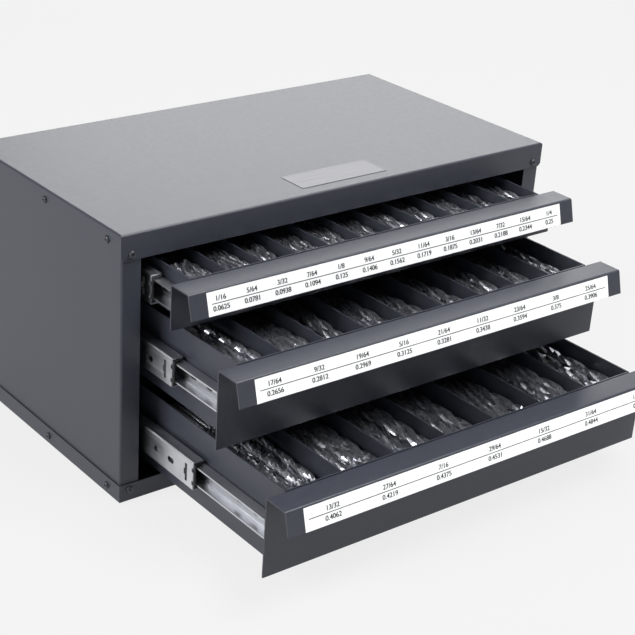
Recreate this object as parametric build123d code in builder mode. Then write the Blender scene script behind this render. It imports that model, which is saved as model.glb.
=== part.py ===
from build123d import *
import math
import os

os.makedirs("parts", exist_ok=True)

# Drill bit drawer case: a folded sheet-steel cabinet with three drawers on
# telescopic ball slides. It stands on the plane z = 0, centred on the origin,
# with its front towards -Y. All sizes are in millimetres.

# ---------------------------------------------------------------- cabinet
CASE_WIDTH = 370.0
CASE_DEPTH = 203.0
CASE_SHEET = 1.0
CASE_BEND = 1.5  # outer bend radius of the cover and of the base
CAP_FRONT_DROP = 18.0  # the cover's front flange
CAP_SIDE_DROP = 15.5  # the cover's side and rear flanges
CAP_CORNER_CHAMFER = 2.0
BASE_RISE = 13.5  # the base's flanges
SIDE_RETURN = 15.5  # the side panels' front face, from the outer side
REAR_RETURN = 12.0
PANEL_BEND = 0.5  # inner bend radius of the side panels
UPRIGHT_SHEET = 1.2
UPRIGHT_FACE = 16.0  # width of the face that carries the slides
UPRIGHT_FOOT = 9.0  # width of each foot on the side panel

# ---------------------------------------------------------------- drawers
FLOOR_CLEARANCE = 1.0  # lower drawer above the base's flange
LOWER_HEIGHT = 57.5
MIDDLE_GAP = 6.8
MIDDLE_HEIGHT = 55.7
UPPER_GAP = 4.4
UPPER_HEIGHT = 32.1
TOP_GAP = 6.5  # upper drawer's rim to the cover's front flange
LOWER_OPEN = 139.5  # how far each drawer's plate stands out of the cabinet
MIDDLE_OPEN = 85.4
UPPER_OPEN = 32.0
SPARE_TRAVEL = 5.0  # how much further the slides run than the widest open drawer
LOWER_BAYS = 7
MIDDLE_BAYS = 9
UPPER_BAYS = 11
FRONT_CLEARANCE = 1.7  # each end of a drawer front to the side panel
FRONT_SHEET = 1.0
FRONT_BEND = 0.6
LEDGE_DEPTH = 18.4
LIP_HEIGHT = 16.4
LIP_FLARE = 4.5  # how far the lip's lower edge leans out
LIP_SETBACK = 0.6  # lip to the cabinet's front when the drawer is shut
TRAY_SHEET = 1.0
TRAY_BEVEL = 1.2  # a flat along the trays' lower folds
TRAY_REAR_GAP = 3.0  # shut tray to the cabinet's rear returns
DIVIDER_SHEET = 0.8
LABEL_MARGIN = 13.0
LABEL_HEIGHT = 15.4
LABEL_THICKNESS = 0.3

# ---------------------------------------------------------------- slides
SLIDE_THICKNESS = 12.7
SLIDE_SETBACK = 3.4  # slide's back, inboard of the side panel's front face
SLIDE_END_GAP = 1.0  # slide to each end of the tray
RAIL_BEVEL = 0.8  # a flat across the outside of each fold
OUTER_RAIL_HEIGHT = 30.0
OUTER_RAIL_SHEET = 1.2
OUTER_RAIL_REACH = 9.5
MIDDLE_RAIL_HEIGHT = 20.8
MIDDLE_RAIL_SHEET = 1.0
MIDDLE_RAIL_BACK = 1.9  # its web, from the slide's back
MIDDLE_RAIL_REACH = 10.2
INNER_RAIL_HEIGHT = 14.0
INNER_RAIL_SHEET = 1.0
INNER_RAIL_REACH = 4.4
BALL_CLEARANCE = 0.2  # each side of a ball
CAGE_SHEET = 0.4
CAGE_GAP = 1.25  # an inner cage to the end stop, at the end of the travel
MIDDLE_RAIL_SHARE = 0.5  # how far a middle rail runs, as a share of its drawer's travel
OUTER_CAGE_SHARE = 0.25
INNER_CAGE_SHARE = 0.75
BALLS_PER_RUN = 2
BALL_END = 8.0  # first ball to the cage's end
RAIL_SLOT_LENGTH = 7.0
RAIL_SLOT_WIDTH = 4.0
RAIL_SLOT_CORNER = 1.2
RAIL_HOLE_FIRST = 26.0  # from a rail's end
RAIL_HOLE_SECOND = 44.0
LATCH_SLOT_PLACE = 8.0
LATCH_SLOT_WIDTH = 2.5
LATCH_SLOT_HEIGHT = 13.0
LATCH_STEP_HEIGHT = 4.4  # the part of the slot that steps back
END_NOTCH_DEPTH = 1.4  # notches in the front edge of a middle rail's web
END_NOTCH_HEIGHT = 3.0
END_NOTCH_SPREAD = 9.6  # from one notch to the other
STOP_DEPTH = 12.0  # the plastic end stop inside a middle rail's front end
STOP_PROUD = 0.5  # how far it stands out of the rail
STOP_CLEARANCE = 0.3  # to the rails above, below and beside it

# ---------------------------------------------------------------- fasteners
SCREW_HEAD = 5.0
SCREW_HEAD_HEIGHT = 1.5
SCREW_SHANK = 2.5
SCREW_CLEARANCE = 0.1
HEAD_SIDES = 8  # heads and shanks are drawn with flats, to keep them light
SHANK_SIDES = 6
FLAT_HEAD = 4.4
FLAT_HEAD_EDGE = 0.1
CASE_SCREW_LENGTH = 2.8
SIDE_SCREW_FIRST = 16.5  # from the cabinet's front
SIDE_SCREW_PITCH = 80.0
SIDE_SCREW_COUNT = 3
FRONT_SCREW_INSET = 8.0  # from the cabinet's outer side
FRONT_SCREW_EDGE = 4.2  # from the flange's free edge
RAIL_SCREW_END = 14.0  # from a rail's end
RAIL_SCREW_LENGTH = 3.0

# ---------------------------------------------------------------- drill bits
INCH = 25.4
BIT_GAP = 0.15
BIT_SIDES = 6  # many small bits, so they are drawn with flats
BIT_POINT = 0.5  # length of the point, as a share of the diameter
BIT_END_MARGIN = 3.0
BIT_YAW = 1.6  # degrees, to one side and then the other, layer by layer
BIT_SWAY = 0.8  # share of the bay's free width that the turn may use
BIT_SPREAD = 1.02  # pitch of the bits in a layer, in diameters
UPPER_LAYERS = (2, 2, 1)  # bits side by side, from the bottom layer up
MIDDLE_LAYERS = (2, 2, 1)
LOWER_LAYERS = (3, 2, 1)

# ---------------------------------------------------------------- worked out
half_width = CASE_WIDTH / 2
half_depth = CASE_DEPTH / 2
lower_floor = BASE_RISE + FLOOR_CLEARANCE
lower_rim = lower_floor + LOWER_HEIGHT
middle_rim = lower_rim + MIDDLE_GAP + MIDDLE_HEIGHT
upper_rim = middle_rim + UPPER_GAP + UPPER_HEIGHT
case_height = upper_rim + TOP_GAP + CAP_FRONT_DROP

inner_half_width = half_width - CASE_SHEET  # inside the cover and the base
inner_half_depth = half_depth - CASE_SHEET
panel_bottom = CASE_BEND
panel_top = case_height - CASE_BEND
panel_height = panel_top - panel_bottom
side_screw_drop = CAP_SIDE_DROP / 2
side_screw_rise = BASE_RISE / 2

front_width = CASE_WIDTH - 2 * (SIDE_RETURN + FRONT_CLEARANCE)
front_recess = LEDGE_DEPTH + LIP_FLARE + LIP_SETBACK
shut_plate = -half_depth + front_recess  # a shut drawer's plate, front face
tray_rear = inner_half_depth - 2 * CASE_SHEET - TRAY_REAR_GAP
tray_length = tray_rear - shut_plate - FRONT_SHEET
slide_back = half_width - SIDE_RETURN - SLIDE_SETBACK
tray_half_width = slide_back - SLIDE_THICKNESS
rail_length = tray_length - 2 * SLIDE_END_GAP
rail_rear = tray_rear - SLIDE_END_GAP
rail_front = rail_rear - rail_length
outer_ball = (OUTER_RAIL_HEIGHT - MIDDLE_RAIL_HEIGHT) / 2 - OUTER_RAIL_SHEET - 2 * BALL_CLEARANCE
inner_ball = (MIDDLE_RAIL_HEIGHT - INNER_RAIL_HEIGHT) / 2 - MIDDLE_RAIL_SHEET - 2 * BALL_CLEARANCE
# the cages' webs run midway between the rails' webs, or tips
outer_cage_back = (OUTER_RAIL_SHEET + MIDDLE_RAIL_BACK - CAGE_SHEET) / 2
inner_cage_back = (MIDDLE_RAIL_BACK + MIDDLE_RAIL_SHEET + INNER_RAIL_REACH - CAGE_SHEET) / 2
outer_ball_reach = (MIDDLE_RAIL_BACK + OUTER_RAIL_REACH) / 2
inner_ball_reach = (INNER_RAIL_REACH + MIDDLE_RAIL_REACH) / 2
outer_cage_tip = outer_ball_reach + outer_ball
stop_back = MIDDLE_RAIL_BACK + MIDDLE_RAIL_SHEET
stop_wall = INNER_RAIL_REACH - STOP_CLEARANCE - stop_back
stop_height = MIDDLE_RAIL_HEIGHT - 2 * MIDDLE_RAIL_SHEET - 2 * STOP_CLEARANCE
# an inner cage runs ahead of its middle rail, so it starts this far behind the
# rail's front end to stay clear of the stop; the cages are centred on the rails
full_travel = front_recess + max(LOWER_OPEN, MIDDLE_OPEN, UPPER_OPEN) + SPARE_TRAVEL
cage_start = STOP_DEPTH + CAGE_GAP + full_travel * (INNER_CAGE_SHARE - MIDDLE_RAIL_SHARE)
cage_length = rail_length - 2 * cage_start
inner_cage_tip = inner_ball_reach + inner_ball

# name, rim height, tray height, extension at rest, bays, layers of bits, and
# the smallest and largest bit in sixty-fourths of an inch
drawers = (
    ("upper", upper_rim, UPPER_HEIGHT, UPPER_OPEN, UPPER_BAYS, UPPER_LAYERS, (4, 16)),
    ("middle", middle_rim, MIDDLE_HEIGHT, MIDDLE_OPEN, MIDDLE_BAYS, MIDDLE_LAYERS, (17, 25)),
    ("lower", lower_rim, LOWER_HEIGHT, LOWER_OPEN, LOWER_BAYS, LOWER_LAYERS, (26, 32)),
)


def folded_section(points, thickness, bend, inside=Side.LEFT):
    """Section of a sheet folded along the points, which lie on its outer face."""
    with BuildSketch() as section:
        with BuildLine():
            FilletPolyline(*points, radius=bend + thickness)
            offset(amount=thickness, side=inside)
        make_face()
    return section.sketch


def bevelled(points, cut):
    """The points of an open outline with its corners cut across."""
    outline = [points[0]]
    for before, corner, after in zip(points, points[1:], points[2:]):
        for neighbour in (before, after):
            leg = Vector(neighbour) - Vector(corner)
            outline.append(Vector(corner) + leg.normalized() * cut)
    outline.append(points[-1])
    return outline


def light_section(points, thickness, bevel=0, inside=Side.LEFT):
    """Section of a folded sheet like the one above, with flat bevels for folds.

    Small sheets that repeat have it. Without a bevel their folds are square.
    """
    outline = bevelled(points, bevel) if bevel else points
    with BuildSketch() as section:
        with BuildLine():
            Polyline(*outline)
            offset(amount=thickness, side=inside, kind=Kind.INTERSECTION)
        make_face()
    return section.sketch


def channel_section(mid_height, web, tip, height, thickness, bevel=0):
    """Section of a left-hand channel, by its distances from the slide's back."""
    web_x = -slide_back + web
    tip_x = -slide_back + tip
    top = mid_height + height / 2
    bottom = mid_height - height / 2
    inside = Side.LEFT if tip > web else Side.RIGHT
    points = ((tip_x, top), (web_x, top), (web_x, bottom), (tip_x, bottom))
    return light_section(points, thickness, bevel, inside)


def shank(length, clearance=0.0):
    """A fastener's shank along -Z, or with a clearance the hole for it."""
    with BuildPart() as pin:
        with BuildSketch():
            RegularPolygon(SCREW_SHANK / 2 + clearance, SHANK_SIDES)
        extrude(amount=-length)
    return pin.part


def pan_screw(length):
    """A pan-head screw or rivet along -Z, with the seat of its head at z = 0."""
    with BuildPart() as screw:
        with BuildSketch():
            RegularPolygon(SCREW_HEAD / 2, HEAD_SIDES)
        extrude(amount=SCREW_HEAD_HEIGHT)
        add(shank(length))
    return screw.part


def flat_screw(length, clearance=0.0):
    """A countersunk screw along -Z from the top of its head, or the hole for it."""
    head = FLAT_HEAD / 2 + clearance
    slope = (FLAT_HEAD - SCREW_SHANK) / 2 * math.cos(math.pi / SHANK_SIDES)
    with BuildPart() as screw:
        with BuildSketch():
            RegularPolygon(head, SHANK_SIDES)
        extrude(amount=-slope - FLAT_HEAD_EDGE)
        chamfer(screw.faces().sort_by(Axis.Z)[0].edges(), slope)
        add(shank(length, clearance))
    return screw.part


def ball_blank(diameter):
    """A ball, drawn with 14 flats, since it is out of sight in its cage."""
    with BuildPart() as ball:
        Box(diameter, diameter, diameter)
        for upper in (-1, 1):
            for right in (-1, 1):
                for rear in (-1, 1):
                    corner = Vector(right, rear, upper)
                    split(bisect_by=Plane(corner * (diameter / 3), z_dir=corner), keep=Keep.BOTTOM)
    return ball.part


def facing(x, y, z, direction):
    """A plane at a point, facing a direction, for the seat of a screw's head."""
    return Plane(origin=(x, y, z), z_dir=direction)


def slide_places(front, rim, height):
    """The front and rear screw places of a rail, as (y, z), by its front end."""
    mid_height = rim - height / 2
    first = front + RAIL_SCREW_END
    last = front + rail_length - RAIL_SCREW_END
    return ((first, mid_height), (last, mid_height))


def inner_rail_seats(extension, rim, height):
    """Where a drawer's rivets sit, on the left inner rail's web."""
    places = slide_places(rail_front - extension, rim, height)
    web = -tray_half_width - INNER_RAIL_SHEET
    return [facing(web, along, across, (-1, 0, 0)) for along, across in places]


def rivet_holes(seats):
    """The holes for a drawer's rivets, on both sides."""
    with BuildPart() as holes:
        with Locations(*seats):
            add(shank(INNER_RAIL_SHEET + TRAY_SHEET + SCREW_CLEARANCE, SCREW_CLEARANCE))
        mirror(about=Plane.YZ)
    return holes.part


def jobber_length(sixty_fourths):
    """Overall length of a jobber drill: steps of 1/5 inch to 3/16, then of 1/8 inch."""
    if sixty_fourths < 12:
        return (1.875 + 0.2 * (sixty_fourths - 4)) * INCH
    return (3.5 + 0.125 * (sixty_fourths - 12)) * INCH


def drill_bit(diameter, length):
    """A drill bit along -Y about the origin, with its point in front."""
    shoulder = diameter * BIT_POINT - length / 2
    with BuildPart() as bit:
        with BuildSketch(Plane.XZ.offset(-length / 2)):
            RegularPolygon(diameter / 2, BIT_SIDES)
        extrude(amount=length / 2 - shoulder)
        loft([bit.faces().sort_by(Axis.Y)[0], Vertex(0, -length / 2, 0)], ruled=True)
    return bit.part


# Where the cabinet's screws sit, on the cover's and the base's flanges
end_screw_x = half_width - FRONT_SCREW_INSET
case_screw_seats = []
for side in (-1, 1):
    for number in range(SIDE_SCREW_COUNT):
        along = -half_depth + SIDE_SCREW_FIRST + number * SIDE_SCREW_PITCH
        for height in (case_height - side_screw_drop, side_screw_rise):
            case_screw_seats.append(facing(side * half_width, along, height, (side, 0, 0)))
    for height in (case_height - CAP_FRONT_DROP + FRONT_SCREW_EDGE, BASE_RISE - FRONT_SCREW_EDGE):
        case_screw_seats.append(facing(side * end_screw_x, -half_depth, height, (0, -1, 0)))
    for height in (case_height - side_screw_drop, side_screw_rise):
        case_screw_seats.append(facing(side * end_screw_x, half_depth, height, (0, 1, 0)))

# The holes for them, as pins that are cut out of every sheet they cross
with BuildPart() as screw_holes:
    with Locations(*case_screw_seats):
        add(shank(CASE_SCREW_LENGTH + SCREW_CLEARANCE, SCREW_CLEARANCE))

# ---------------------------------------------------------------- cabinet
with BuildPart() as top_cover:
    with BuildSketch(Plane.XY.offset(case_height - CAP_FRONT_DROP)):
        Rectangle(CASE_WIDTH, CASE_DEPTH)
    extrude(amount=CAP_FRONT_DROP)
    fillet(top_cover.faces().sort_by(Axis.Z)[-1].edges(), CASE_BEND)
    offset(amount=-CASE_SHEET, openings=top_cover.faces().sort_by(Axis.Z)[0])
    # the side and rear flanges are shorter than the front one
    with BuildSketch(Plane.XY.offset(case_height - CAP_FRONT_DROP)):
        with Locations((0, CASE_SHEET)):
            Rectangle(CASE_WIDTH, CASE_DEPTH)
    extrude(amount=CAP_FRONT_DROP - CAP_SIDE_DROP, mode=Mode.SUBTRACT)
    front_corners = top_cover.edges().filter_by(Axis.Y).group_by(Axis.Z)[0]
    chamfer(front_corners, CAP_CORNER_CHAMFER)
    add(screw_holes.part, mode=Mode.SUBTRACT)
top_cover.part.label = "top_cover"
export_step(top_cover.part, "parts/top_cover.step")

with BuildPart() as base_pan:
    with BuildSketch():
        Rectangle(CASE_WIDTH, CASE_DEPTH)
    extrude(amount=BASE_RISE)
    fillet(base_pan.faces().sort_by(Axis.Z)[0].edges(), CASE_BEND)
    offset(amount=-CASE_SHEET, openings=base_pan.faces().sort_by(Axis.Z)[-1])
    add(screw_holes.part, mode=Mode.SUBTRACT)
base_pan.part.label = "base_pan"
export_step(base_pan.part, "parts/base_pan.step")

with BuildPart() as left_side_panel:
    with BuildSketch(Plane.XY.offset(panel_bottom)):
        add(
            folded_section(
                (
                    (-half_width + SIDE_RETURN, -inner_half_depth),
                    (-inner_half_width, -inner_half_depth),
                    (-inner_half_width, inner_half_depth - CASE_SHEET),
                    (-half_width + REAR_RETURN, inner_half_depth - CASE_SHEET),
                ),
                CASE_SHEET,
                PANEL_BEND,
                Side.RIGHT,
            )
        )
    extrude(amount=panel_height)
    add(screw_holes.part, mode=Mode.SUBTRACT)
left_side_panel.part.label = "left_side_panel"
export_step(left_side_panel.part, "parts/left_side_panel.step")

with BuildPart() as right_side_panel:
    mirror(left_side_panel.part, about=Plane.YZ)
right_side_panel.part.label = "right_side_panel"
export_step(right_side_panel.part, "parts/right_side_panel.step")

with BuildPart() as back_panel:
    with BuildSketch(Plane.XZ.offset(-inner_half_depth)):
        with Locations((0, (panel_bottom + panel_top) / 2)):
            Rectangle(2 * inner_half_width, panel_height)
    extrude(amount=CASE_SHEET)
    add(screw_holes.part, mode=Mode.SUBTRACT)
back_panel.part.label = "back_panel"
export_step(back_panel.part, "parts/back_panel.step")

# Hat-section uprights on the side panels carry the slides, which are screwed to
# them through the outer rails' webs
outer_rail_seats = []
for name, rim, height, opened, bays, layers, sizes in drawers:
    for along, across in slide_places(rail_front, rim, height):
        outer_rail_seats.append(facing(-slide_back + OUTER_RAIL_SHEET, along, across, (1, 0, 0)))
outer_screw_hole = flat_screw(RAIL_SCREW_LENGTH + SCREW_CLEARANCE, SCREW_CLEARANCE)
upright_wall = inner_half_width - CASE_SHEET
with BuildPart() as left_slide_uprights:
    for place in (rail_front + RAIL_SCREW_END, rail_front + rail_length - RAIL_SCREW_END):
        front_edge = place - UPRIGHT_FACE / 2
        rear_edge = place + UPRIGHT_FACE / 2
        with BuildSketch(Plane.XY.offset(panel_bottom)):
            add(
                light_section(
                    (
                        (-upright_wall, front_edge - UPRIGHT_FOOT),
                        (-upright_wall, front_edge + UPRIGHT_SHEET),
                        (-slide_back - UPRIGHT_SHEET, front_edge + UPRIGHT_SHEET),
                        (-slide_back - UPRIGHT_SHEET, rear_edge - UPRIGHT_SHEET),
                        (-upright_wall, rear_edge - UPRIGHT_SHEET),
                        (-upright_wall, rear_edge + UPRIGHT_FOOT),
                    ),
                    UPRIGHT_SHEET,
                    inside=Side.RIGHT,
                )
            )
        extrude(amount=panel_height)
    with Locations(*outer_rail_seats):
        add(outer_screw_hole, mode=Mode.SUBTRACT)
left_slide_uprights.part.label = "left_slide_uprights"
export_step(left_slide_uprights.part, "parts/left_slide_uprights.step")

with BuildPart() as right_slide_uprights:
    mirror(left_slide_uprights.part, about=Plane.YZ)
right_slide_uprights.part.label = "right_slide_uprights"
export_step(right_slide_uprights.part, "parts/right_slide_uprights.step")

with BuildPart() as case_screws:
    with Locations(*case_screw_seats):
        add(pan_screw(CASE_SCREW_LENGTH))
case_screws.part.label = "case_screws"
export_step(case_screws.part, "parts/case_screws.step")

# ---------------------------------------------------------------- slides
with BuildSketch() as rail_slot_outline:
    Rectangle(RAIL_SLOT_LENGTH, RAIL_SLOT_WIDTH)
    chamfer(rail_slot_outline.vertices(), RAIL_SLOT_CORNER)
rail_slot = rail_slot_outline.sketch

# name, share of the travel, web, tip, ball centres, ball and rail inside it
outer_race = (
    "outer",
    OUTER_CAGE_SHARE,
    outer_cage_back,
    outer_cage_tip,
    outer_ball_reach,
    outer_ball,
    MIDDLE_RAIL_HEIGHT,
)
inner_race = (
    "inner",
    INNER_CAGE_SHARE,
    inner_cage_back,
    inner_cage_tip,
    inner_ball_reach,
    inner_ball,
    INNER_RAIL_HEIGHT,
)

with BuildPart() as outer_rail_screws:
    with Locations(*outer_rail_seats):
        add(flat_screw(RAIL_SCREW_LENGTH))
    mirror(about=Plane.YZ)
outer_rail_screws.part.label = "outer_rail_screws"
export_step(outer_rail_screws.part, "parts/outer_rail_screws.step")


def ball_run(front, reach, ball, centre_height):
    """Places of the balls of one left-hand run, one above and one below the rails."""
    places = []
    span = cage_length - 2 * BALL_END
    for number in range(BALLS_PER_RUN):
        along = front + BALL_END + span * number / (BALLS_PER_RUN - 1)
        for height in centre_height:
            places.append((-slide_back + reach, along, height))
    return places


def write_both_sides(level, piece_name, left_piece):
    """Write a left-hand rail and its mirror image as two nodes of one drawer."""
    for side in ("left", "right"):
        with BuildPart() as rail:
            if side == "left":
                add(left_piece)
            else:
                mirror(left_piece, about=Plane.YZ)
        rail.part.label = f"{level}_{side}_{piece_name}"
        export_step(rail.part, f"parts/{rail.part.label}.step")


for name, rim, height, opened, bays, layers, sizes in drawers:
    mid_height = rim - height / 2
    extension = shut_plate + half_depth + opened
    middle_front = rail_front - extension * MIDDLE_RAIL_SHARE
    inner_front = rail_front - extension
    rivet_seats = inner_rail_seats(extension, rim, height)

    with BuildPart() as outer_rail:
        with BuildSketch(Plane.XZ.offset(-rail_rear)):
            add(
                channel_section(
                    mid_height, 0, OUTER_RAIL_REACH, OUTER_RAIL_HEIGHT, OUTER_RAIL_SHEET, RAIL_BEVEL
                )
            )
        extrude(amount=rail_length)
        with Locations(*outer_rail_seats):
            add(outer_screw_hole, mode=Mode.SUBTRACT)
    write_both_sides(name, "outer_rail", outer_rail.part)

    with BuildPart() as middle_rail:
        with BuildSketch(Plane.XZ.offset(-middle_front - rail_length)):
            add(
                channel_section(
                    mid_height,
                    MIDDLE_RAIL_BACK,
                    MIDDLE_RAIL_REACH,
                    MIDDLE_RAIL_HEIGHT,
                    MIDDLE_RAIL_SHEET,
                    RAIL_BEVEL,
                )
            )
        extrude(amount=rail_length)
        # holes along the web, and the stepped slot of the latch near the front
        with BuildSketch(Plane.YZ.offset(-slide_back + MIDDLE_RAIL_BACK)):
            with Locations((middle_front + RAIL_HOLE_FIRST, mid_height)):
                add(rail_slot)
            with Locations((middle_front + RAIL_HOLE_SECOND, mid_height)):
                Rectangle(RAIL_SLOT_WIDTH, RAIL_SLOT_WIDTH)
            with Locations((middle_front + LATCH_SLOT_PLACE, mid_height)):
                Rectangle(LATCH_SLOT_WIDTH, LATCH_SLOT_HEIGHT)
            with Locations((middle_front + LATCH_SLOT_PLACE + LATCH_SLOT_WIDTH / 2, mid_height)):
                Rectangle(LATCH_SLOT_WIDTH, LATCH_STEP_HEIGHT)
            with Locations((middle_front, mid_height)):
                with GridLocations(1, END_NOTCH_SPREAD, 1, 2):
                    Rectangle(2 * END_NOTCH_DEPTH, END_NOTCH_HEIGHT)
        extrude(amount=MIDDLE_RAIL_SHEET, mode=Mode.SUBTRACT)
    write_both_sides(name, "middle_rail", middle_rail.part)

    # Plastic stops in the front ends of the middle rails, round the inner rails
    with BuildPart() as rail_end_stops:
        with BuildSketch(Plane.XZ.offset(-middle_front - STOP_DEPTH)):
            add(channel_section(mid_height, stop_back, MIDDLE_RAIL_REACH, stop_height, stop_wall))
        extrude(amount=STOP_DEPTH + STOP_PROUD)
        mirror(about=Plane.YZ)
    rail_end_stops.part.label = f"{name}_rail_end_stops"
    export_step(rail_end_stops.part, f"parts/{name}_rail_end_stops.step")

    with BuildPart() as inner_rail:
        with BuildSketch(Plane.XZ.offset(-inner_front - rail_length)):
            add(
                channel_section(
                    mid_height,
                    SLIDE_THICKNESS,
                    INNER_RAIL_REACH,
                    INNER_RAIL_HEIGHT,
                    INNER_RAIL_SHEET,
                    RAIL_BEVEL,
                )
            )
        extrude(amount=rail_length)
        with BuildSketch(Plane.YZ.offset(-tray_half_width)):
            with Locations(
                (inner_front + RAIL_HOLE_FIRST, mid_height),
                (inner_front + RAIL_HOLE_SECOND, mid_height),
            ):
                add(rail_slot)
        extrude(amount=-INNER_RAIL_SHEET, mode=Mode.SUBTRACT)
        add(rivet_holes(rivet_seats), mode=Mode.SUBTRACT)
    write_both_sides(name, "inner_rail", inner_rail.part)

    with BuildPart() as inner_rail_rivets:
        with Locations(*rivet_seats):
            add(pan_screw(INNER_RAIL_SHEET + TRAY_SHEET))
        mirror(about=Plane.YZ)
    inner_rail_rivets.part.label = f"{name}_inner_rail_rivets"
    export_step(inner_rail_rivets.part, f"parts/{name}_inner_rail_rivets.step")

    # Ball cages: folded strips that run between the rails, at a quarter and
    # three quarters of the drawer's travel, with their balls in them
    for race, share, back, tip, reach, ball, rail_height in (outer_race, inner_race):
        cage_front = rail_front + cage_start - extension * share
        ball_offset = rail_height / 2 + BALL_CLEARANCE + ball / 2
        runs = (mid_height + ball_offset, mid_height - ball_offset)
        places = ball_run(cage_front, reach, ball, runs)
        with BuildPart() as cages:
            with BuildSketch(Plane.XZ.offset(-cage_front - cage_length)):
                add(channel_section(mid_height, back, tip, 2 * ball_offset + CAGE_SHEET, CAGE_SHEET))
            extrude(amount=cage_length)
            with BuildSketch(Plane.XY.offset(mid_height)):
                with Locations(*[(x, y) for x, y, z in places[::2]]):
                    Rectangle(ball + 2 * BALL_CLEARANCE, ball + 2 * BALL_CLEARANCE)
            extrude(amount=ball_offset + CAGE_SHEET, both=True, mode=Mode.SUBTRACT)
            mirror(about=Plane.YZ)
        cages.part.label = f"{name}_{race}_ball_cages"
        export_step(cages.part, f"parts/{cages.part.label}.step")
        with BuildPart() as balls:
            with Locations(*places):
                add(ball_blank(ball))
            mirror(about=Plane.YZ)
        balls.part.label = f"{name}_{race}_balls"
        export_step(balls.part, f"parts/{balls.part.label}.step")

# ---------------------------------------------------------------- drawers
lip_turn = math.atan2(LIP_FLARE, LIP_HEIGHT)  # the lip's lean from upright
lip_length = math.hypot(LIP_FLARE, LIP_HEIGHT)
bend_run = (FRONT_BEND + FRONT_SHEET) * math.tan((math.pi / 2 - lip_turn) / 2)
label_centre = (bend_run + lip_length) / 2  # from the lip's upper corner

for name, rim, height, opened, bays, layers, sizes in drawers:
    mid_height = rim - height / 2
    floor = rim - height
    plate_y = -half_depth - opened
    tray_front = plate_y + FRONT_SHEET
    bay_front = tray_front + TRAY_SHEET
    bay_depth = tray_length - 2 * TRAY_SHEET
    extension = shut_plate - plate_y
    lip_y = plate_y - LEDGE_DEPTH

    # The front: a plate, a ledge on top of it and a lip that hangs from the
    # ledge, folded from one sheet; fingers go up behind the lip
    with BuildPart() as front:
        with BuildSketch(Plane.YZ):
            add(
                folded_section(
                    (
                        (tray_front, floor),
                        (tray_front, rim),
                        (lip_y, rim),
                        (lip_y - LIP_FLARE, rim - LIP_HEIGHT),
                    ),
                    FRONT_SHEET,
                    FRONT_BEND,
                )
            )
        extrude(amount=front_width / 2, both=True)
    front.part.label = f"{name}_drawer_front"
    export_step(front.part, f"parts/{name}_drawer_front.step")

    label_face = Plane(
        origin=(
            0,
            lip_y - label_centre * math.sin(lip_turn),
            rim - label_centre * math.cos(lip_turn),
        ),
        x_dir=(1, 0, 0),
        z_dir=(0, -math.cos(lip_turn), math.sin(lip_turn)),
    )
    with BuildPart() as label_strip:
        with BuildSketch(label_face):
            Rectangle(front_width - 2 * LABEL_MARGIN, LABEL_HEIGHT)
        extrude(amount=LABEL_THICKNESS)
    label_strip.part.label = f"{name}_label_strip"
    export_step(label_strip.part, f"parts/{name}_label_strip.step")

    with BuildPart() as tray:
        with BuildSketch(Plane.XY.offset(floor)):
            with Locations((0, tray_front + tray_length / 2)):
                Rectangle(2 * tray_half_width, tray_length)
        extrude(amount=height)
        chamfer(tray.faces().sort_by(Axis.Z)[0].edges(), TRAY_BEVEL)
        offset(amount=-TRAY_SHEET, openings=tray.faces().sort_by(Axis.Z)[-1])
        add(rivet_holes(inner_rail_seats(extension, rim, height)), mode=Mode.SUBTRACT)
    tray.part.label = f"{name}_tray"
    export_step(tray.part, f"parts/{name}_tray.step")

    bay_pitch = 2 * (tray_half_width - TRAY_SHEET) / bays
    bay_width = bay_pitch - DIVIDER_SHEET
    with BuildPart() as dividers:
        with BuildSketch(Plane.XZ.offset(-bay_front - bay_depth)):
            with Locations((0, (floor + TRAY_SHEET + rim) / 2)):
                with GridLocations(bay_pitch, 1, bays - 1, 1):
                    Rectangle(DIVIDER_SHEET, height - TRAY_SHEET)
        extrude(amount=bay_depth)
        lower_corners = dividers.edges().filter_by(Axis.X).group_by(Axis.Z)[0]
        chamfer(lower_corners, TRAY_BEVEL)
    dividers.part.label = f"{name}_dividers"
    export_step(dividers.part, f"parts/{name}_dividers.step")

    # The drill bits lie in layers, with their points to the front; each layer
    # is turned a little against the one below
    bits = []
    for bay in range(bays):
        bay_x = (bay - (bays - 1) / 2) * bay_pitch
        sixty_fourths = round(sizes[0] + (sizes[1] - sizes[0]) * bay / (bays - 1))
        diameter = sixty_fourths / 64 * INCH
        length = min(jobber_length(sixty_fourths), bay_depth - 2 * BIT_END_MARGIN)
        spread = diameter * BIT_SPREAD + BIT_GAP
        bit = drill_bit(diameter, length)
        for layer, wanted in enumerate(layers):
            across = min(wanted, int(bay_width / spread))
            room = bay_width - across * spread
            yaw = min(BIT_YAW, math.degrees(math.atan2(room, length)) * BIT_SWAY)
            if layer % 2:
                yaw = -yaw
            centre_y = bay_front + BIT_END_MARGIN + length / 2
            centre_z = floor + TRAY_SHEET + BIT_GAP + diameter / 2 + layer * (diameter + BIT_GAP)
            for number in range(across):
                centre_x = bay_x + (number - (across - 1) / 2) * spread
                bits.append(bit.moved(Location((centre_x, centre_y, centre_z), (0, 0, yaw))))
    with BuildPart() as drill_bits:
        add(bits, clean=False)
    drill_bits.part.label = f"{name}_drill_bits"
    export_step(drill_bits.part, f"parts/{name}_drill_bits.step")
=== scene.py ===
import math
import random

import bmesh
import bpy
import numpy as np
from mathutils import Euler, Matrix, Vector
from mathutils.geometry import tessellate_polygon


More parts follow.
